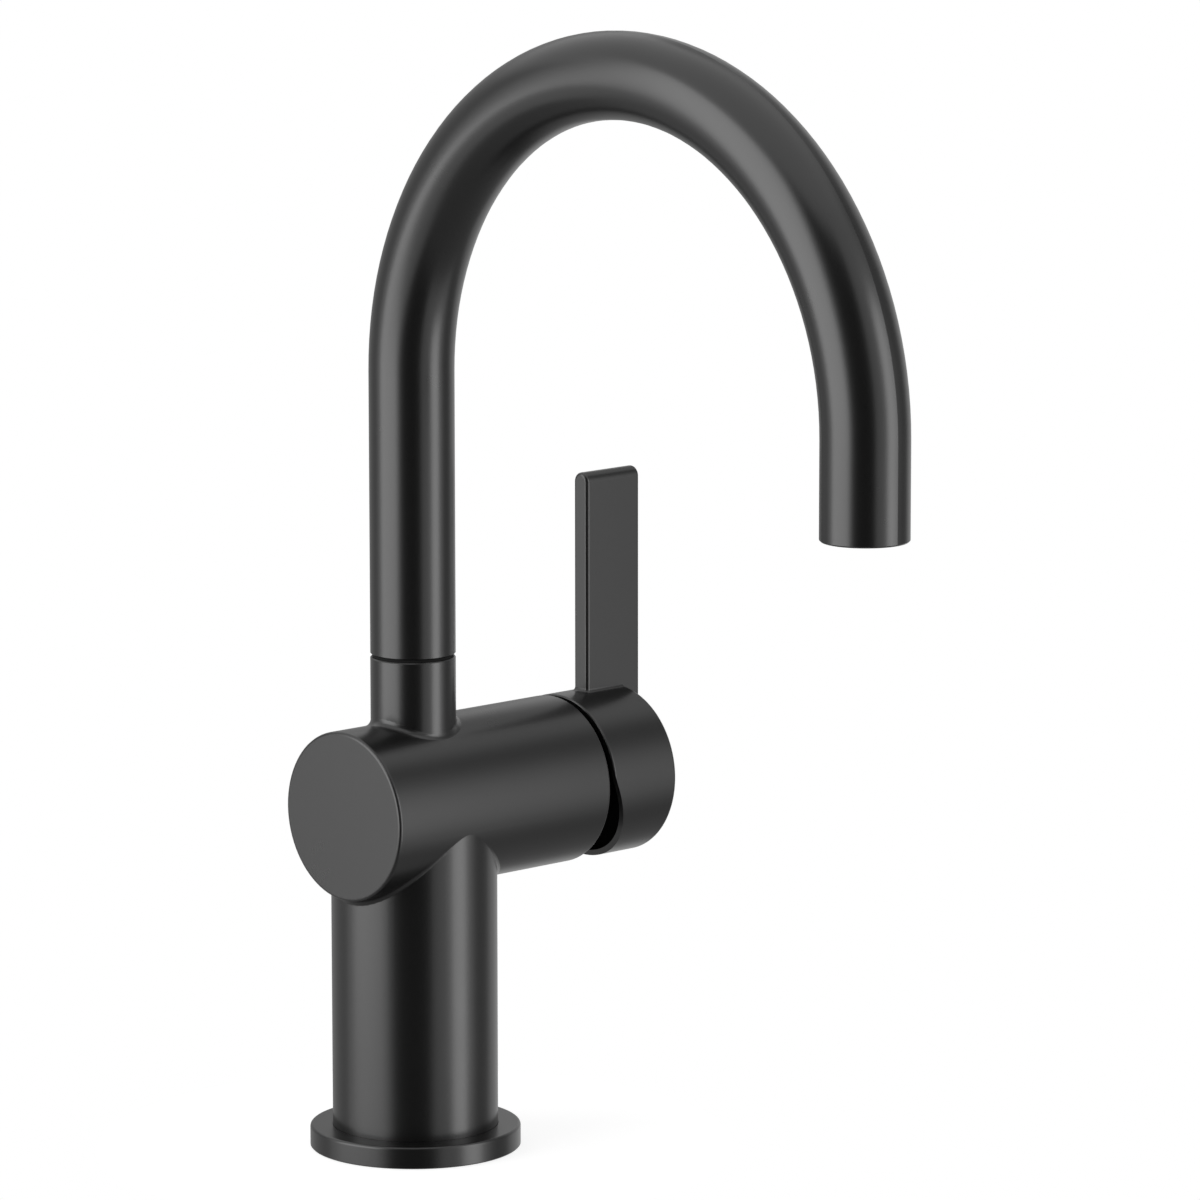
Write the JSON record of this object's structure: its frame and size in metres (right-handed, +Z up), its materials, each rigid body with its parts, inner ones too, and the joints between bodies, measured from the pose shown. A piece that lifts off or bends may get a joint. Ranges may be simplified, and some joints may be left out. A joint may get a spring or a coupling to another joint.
{
  "type": "bar faucet",
  "caption": "Bar faucet with a tall swivelling gooseneck spout and a flat upright side lever that tilts for flow and turns for temperature.",
  "frame": {"origin": "centre of the base flange's underside, on the column's axis, in the plane of the counter", "axes": "+Z up along the column; the spout reaches towards -Y in its rest pose; the crossbody lies along X with the lever hub at its +X end"},
  "size_m": [0.1147, 0.2192, 0.3219],
  "materials": {
    "matte_black": "matte black powder coat",
    "brass": "machined",
    "steel": "brushed",
    "rubber": "matte",
    "black_plastic": "matte",
    "white_plastic": "satin",
    "ceramic": "lapped"
  },
  "bodies": {
    "body": {"base_flange": "matte_black", "base_gasket": "rubber", "body_shell": "matte_black", "base_insert": "brass", "hot_inlet_tube": "steel", "cold_inlet_tube": "steel", "tube_seals": "rubber", "valve_block": "brass", "port_seals": "rubber", "cartridge_base": "white_plastic", "disc_fixed": "ceramic", "cartridge_housing": "black_plastic", "cartridge_nut": "brass", "dust_ring": "black_plastic", "swivel_post": "brass", "swivel_washer": "rubber", "swivel_bushings": "white_plastic", "swivel_o_rings": "rubber", "retaining_ring": "steel"},
    "spout": {"spout_tube": "matte_black", "spout_sleeve": "brass", "aerator_housing": "black_plastic", "aerator_insert": "white_plastic", "aerator_gasket": "rubber"},
    "carrier": {"cartridge_carrier": "black_plastic", "carrier_pin": "steel"},
    "disc": {"disc_moving": "ceramic", "disc_driver": "black_plastic"},
    "lever": {"handle": "matte_black", "set_screw": "steel", "cartridge_stem": "brass"}
  },
  "joints": [
    {"name": "spout_swivel", "type": "hinge", "parent": "body", "child": "spout", "pos_m": [0, 0, 0.1413], "axis": [0, 0, 1], "continuous": true},
    {"name": "lever_mix", "type": "hinge", "parent": "body", "child": "carrier", "pos_m": [0.04, 0, 0.0981], "axis": [1, 0, 0], "range_deg": [-45, 45]},
    {"name": "lever_lift", "type": "hinge", "parent": "carrier", "child": "lever", "pos_m": [0.04, 0, 0.0981], "axis": [0, 1, 0], "range_deg": [0, 20]},
    {"name": "disc_slide", "type": "slide", "parent": "carrier", "child": "disc", "axis": [0, 0, 1], "range_m": [0, 0.0032]}
  ],
  "couplings": [
    {"joint": "disc_slide", "follows": "lever_lift", "m_per_rad": 0.0088}
  ]
}
